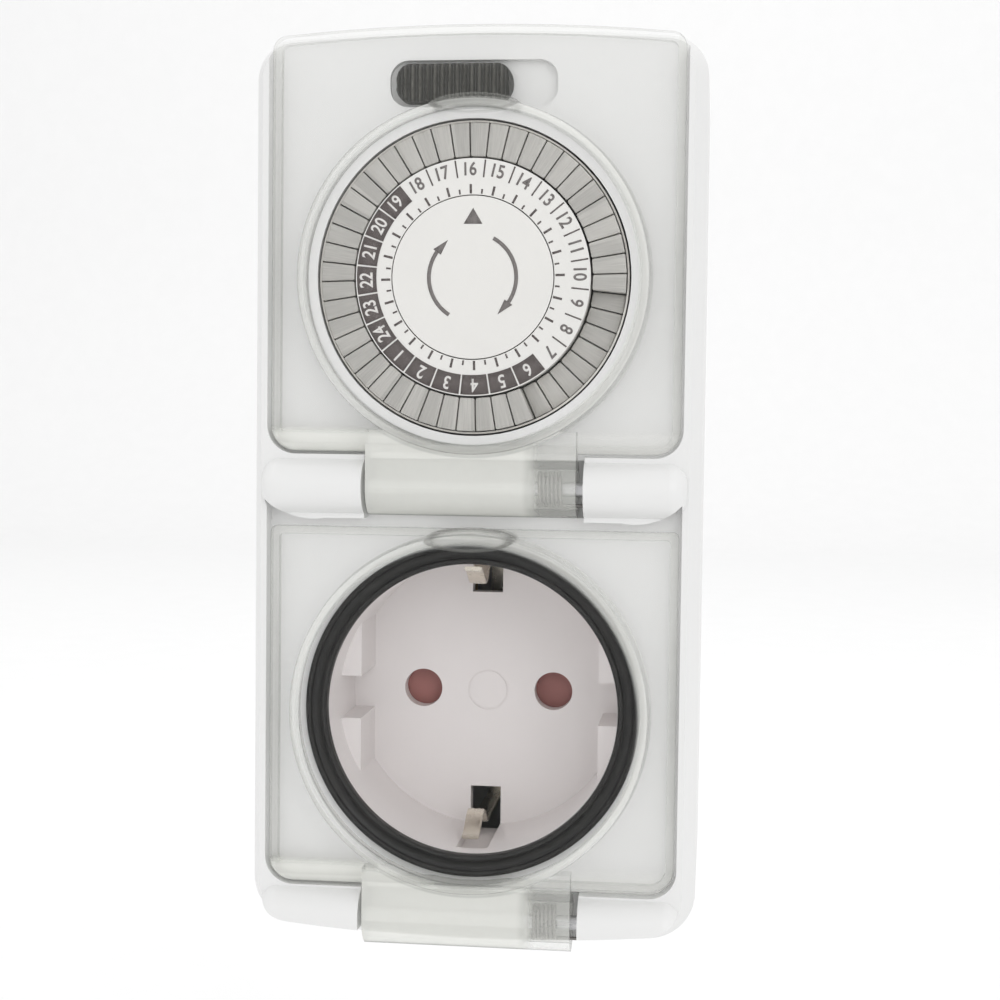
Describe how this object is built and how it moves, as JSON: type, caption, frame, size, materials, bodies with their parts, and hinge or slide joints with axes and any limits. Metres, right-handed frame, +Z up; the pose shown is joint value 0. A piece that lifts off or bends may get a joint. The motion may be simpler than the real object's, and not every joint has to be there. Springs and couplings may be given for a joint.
{
  "type": "plug-in mechanical timer",
  "caption": "Outdoor plug-in mechanical 24 hour timer: tappet dial under a sprung clear lid, earthed socket under a second sprung clear lid, plug at the back.",
  "frame": {"origin": "middle of the plug face, between the two plug pins", "axes": "+Z up along the timer's length, +Y backwards along the plug pins, +X across to the right seen from the front; the lids face -Y"},
  "size_m": [0.061, 0.084, 0.1236],
  "materials": {
    "white_shell": "smooth white ABS, slightly glossy",
    "insert_white": "white heat-resistant moulding",
    "lid_clear": "clear polycarbonate, frosted on the flat parts",
    "seal_black": "soft black rubber",
    "tappet_grey": "grey, finely brushed in grain",
    "dial_white": "white with printed marks",
    "wheel_grey": "acetal",
    "knob_grey": "dark grey, ribbed",
    "shutter_brown": "reddish brown thermoset",
    "plate_grey": "glass-filled nylon",
    "switch_black": "black phenolic",
    "nickel": "nickel-plated brass",
    "brass": "bare brass strip",
    "steel": "plated steel"
  },
  "bodies": {
    "housing": {"front_housing": "white_shell", "rear_housing": "white_shell", "housing_gasket": "seal_black", "housing_screws": "steel", "plug_seal": "seal_black", "lid_hinge_pins": "steel", "dial_lid_spring": "steel", "socket_lid_spring": "steel", "pointer_disc": "dial_white", "dial_axle": "wheel_grey", "mechanism_plate": "plate_grey", "gear_arbor": "steel", "motor_case": "steel", "lever_pin": "steel", "micro_switch": "switch_black", "socket_insert": "insert_white", "socket_seal": "seal_black", "earth_bracket": "nickel", "neutral_contact": "brass", "live_contact": "brass", "live_feed_strip": "brass", "shutter_spring": "steel", "plug_pin_live": "nickel", "plug_pin_neutral": "nickel", "plug_earth_contacts": "nickel", "earth_strip": "brass"},
    "upper_lid": {"dial_lid": "lid_clear"},
    "lower_lid": {"socket_lid": "lid_clear"},
    "dial": {"dial_wheel": "wheel_grey", "hour_ring": "dial_white"},
    "train_gear": {"intermediate_gear": "wheel_grey"},
    "motor_output": {"motor_pinion": "brass"},
    "slider": {"override_slider": "knob_grey"},
    "lever": {"switch_lever": "plate_grey"},
    "plunger": {"switch_plunger": "switch_black"},
    "pin_shutter": {"shutter": "shutter_brown"},
    "tappet_pair_01": {"tappets_01": "tappet_grey"},
    "tappet_pair_02": {"tappets_02": "tappet_grey"},
    "tappet_pair_03": {"tappets_03": "tappet_grey"},
    "tappet_pair_04": {"tappets_04": "tappet_grey"},
    "tappet_pair_05": {"tappets_05": "tappet_grey"},
    "tappet_pair_06": {"tappets_06": "tappet_grey"},
    "tappet_pair_07": {"tappets_07": "tappet_grey"},
    "tappet_pair_08": {"tappets_08": "tappet_grey"},
    "tappet_pair_09": {"tappets_09": "tappet_grey"},
    "tappet_pair_10": {"tappets_10": "tappet_grey"},
    "tappet_pair_11": {"tappets_11": "tappet_grey"},
    "tappet_pair_12": {"tappets_12": "tappet_grey"},
    "tappet_pair_13": {"tappets_13": "tappet_grey"},
    "tappet_pair_14": {"tappets_14": "tappet_grey"},
    "tappet_pair_15": {"tappets_15": "tappet_grey"},
    "tappet_pair_16": {"tappets_16": "tappet_grey"},
    "tappet_pair_17": {"tappets_17": "tappet_grey"},
    "tappet_pair_18": {"tappets_18": "tappet_grey"},
    "tappet_pair_19": {"tappets_19": "tappet_grey"},
    "tappet_pair_20": {"tappets_20": "tappet_grey"},
    "tappet_pair_21": {"tappets_21": "tappet_grey"},
    "tappet_pair_22": {"tappets_22": "tappet_grey"},
    "tappet_pair_23": {"tappets_23": "tappet_grey"},
    "tappet_pair_24": {"tappets_24": "tappet_grey"}
  },
  "joints": [
    {"name": "dial_lid_hinge", "type": "hinge", "parent": "housing", "child": "upper_lid", "pos_m": [0, -0.0595, -0.0279], "axis": [1, 0, 0], "range_deg": [0, 90], "stiffness_Nm_per_rad": 0.01, "springref_deg": -34.38},
    {"name": "socket_lid_hinge", "type": "hinge", "parent": "housing", "child": "lower_lid", "pos_m": [0, -0.0595, -0.0863], "axis": [1, 0, 0], "range_deg": [0, 110], "stiffness_Nm_per_rad": 0.01, "springref_deg": -34.38},
    {"name": "dial_turn", "type": "hinge", "parent": "housing", "child": "dial", "pos_m": [0, -0.058, 0], "axis": [0, 1, 0], "continuous": true},
    {"name": "intermediate_turn", "type": "hinge", "parent": "housing", "child": "train_gear", "pos_m": [-0.01527, -0.052, -0.01527], "axis": [0, 1, 0], "continuous": true},
    {"name": "motor_pinion_turn", "type": "hinge", "parent": "housing", "child": "motor_output", "pos_m": [-0.00327, -0.048, -0.01527], "axis": [0, 1, 0], "continuous": true},
    {"name": "override_slide", "type": "slide", "parent": "housing", "child": "slider", "axis": [1, 0, 0], "range_m": [0, 0.0054]},
    {"name": "lever_tilt", "type": "hinge", "parent": "housing", "child": "lever", "pos_m": [0, -0.0485, 0.028], "axis": [1, 0, 0], "range_deg": [0, 6]},
    {"name": "plunger_slide", "type": "slide", "parent": "housing", "child": "plunger", "axis": [0, 1, 0], "range_m": [0, 0.0008]},
    {"name": "shutter_slide", "type": "slide", "parent": "housing", "child": "pin_shutter", "axis": [0, 0, 1], "range_m": [0, 0.0065], "stiffness_N_per_m": 50, "springref_m": -0.002, "deforming": ["shutter_spring"]},
    {"name": "tappet_slide_01", "type": "slide", "parent": "dial", "child": "tappet_pair_01", "axis": [0, 1, 0], "range_m": [0, 0.0021]},
    {"name": "tappet_slide_02", "type": "slide", "parent": "dial", "child": "tappet_pair_02", "axis": [0, 1, 0], "range_m": [0, 0.0021]},
    {"name": "tappet_slide_03", "type": "slide", "parent": "dial", "child": "tappet_pair_03", "axis": [0, 1, 0], "range_m": [0, 0.0021]},
    {"name": "tappet_slide_04", "type": "slide", "parent": "dial", "child": "tappet_pair_04", "axis": [0, 1, 0], "range_m": [0, 0.0021]},
    {"name": "tappet_slide_05", "type": "slide", "parent": "dial", "child": "tappet_pair_05", "axis": [0, 1, 0], "range_m": [0, 0.0021]},
    {"name": "tappet_slide_06", "type": "slide", "parent": "dial", "child": "tappet_pair_06", "axis": [0, 1, 0], "range_m": [-0.0021, 0]},
    {"name": "tappet_slide_07", "type": "slide", "parent": "dial", "child": "tappet_pair_07", "axis": [0, 1, 0], "range_m": [-0.0021, 0]},
    {"name": "tappet_slide_08", "type": "slide", "parent": "dial", "child": "tappet_pair_08", "axis": [0, 1, 0], "range_m": [-0.0021, 0]},
    {"name": "tappet_slide_09", "type": "slide", "parent": "dial", "child": "tappet_pair_09", "axis": [0, 1, 0], "range_m": [-0.0021, 0]},
    {"name": "tappet_slide_10", "type": "slide", "parent": "dial", "child": "tappet_pair_10", "axis": [0, 1, 0], "range_m": [0, 0.0021]},
    {"name": "tappet_slide_11", "type": "slide", "parent": "dial", "child": "tappet_pair_11", "axis": [0, 1, 0], "range_m": [0, 0.0021]},
    {"name": "tappet_slide_12", "type": "slide", "parent": "dial", "child": "tappet_pair_12", "axis": [0, 1, 0], "range_m": [0, 0.0021]},
    {"name": "tappet_slide_13", "type": "slide", "parent": "dial", "child": "tappet_pair_13", "axis": [0, 1, 0], "range_m": [0, 0.0021]},
    {"name": "tappet_slide_14", "type": "slide", "parent": "dial", "child": "tappet_pair_14", "axis": [0, 1, 0], "range_m": [0, 0.0021]},
    {"name": "tappet_slide_15", "type": "slide", "parent": "dial", "child": "tappet_pair_15", "axis": [0, 1, 0], "range_m": [0, 0.0021]},
    {"name": "tappet_slide_16", "type": "slide", "parent": "dial", "child": "tappet_pair_16", "axis": [0, 1, 0], "range_m": [0, 0.0021]},
    {"name": "tappet_slide_17", "type": "slide", "parent": "dial", "child": "tappet_pair_17", "axis": [0, 1, 0], "range_m": [0, 0.0021]},
    {"name": "tappet_slide_18", "type": "slide", "parent": "dial", "child": "tappet_pair_18", "axis": [0, 1, 0], "range_m": [0, 0.0021]},
    {"name": "tappet_slide_19", "type": "slide", "parent": "dial", "child": "tappet_pair_19", "axis": [0, 1, 0], "range_m": [0, 0.0021]},
    {"name": "tappet_slide_20", "type": "slide", "parent": "dial", "child": "tappet_pair_20", "axis": [0, 1, 0], "range_m": [0, 0.0021]},
    {"name": "tappet_slide_21", "type": "slide", "parent": "dial", "child": "tappet_pair_21", "axis": [0, 1, 0], "range_m": [0, 0.0021]},
    {"name": "tappet_slide_22", "type": "slide", "parent": "dial", "child": "tappet_pair_22", "axis": [0, 1, 0], "range_m": [0, 0.0021]},
    {"name": "tappet_slide_23", "type": "slide", "parent": "dial", "child": "tappet_pair_23", "axis": [0, 1, 0], "range_m": [0, 0.0021]},
    {"name": "tappet_slide_24", "type": "slide", "parent": "dial", "child": "tappet_pair_24", "axis": [0, 1, 0], "range_m": [0, 0.0021]}
  ],
  "couplings": [
    {"joint": "intermediate_turn", "follows": "dial_turn", "ratio": -8},
    {"joint": "motor_pinion_turn", "follows": "dial_turn", "ratio": 24},
    {"joint": "lever_tilt", "follows": "override_slide", "rad_per_m": 19.3},
    {"joint": "plunger_slide", "follows": "override_slide", "ratio": 0.148}
  ]
}
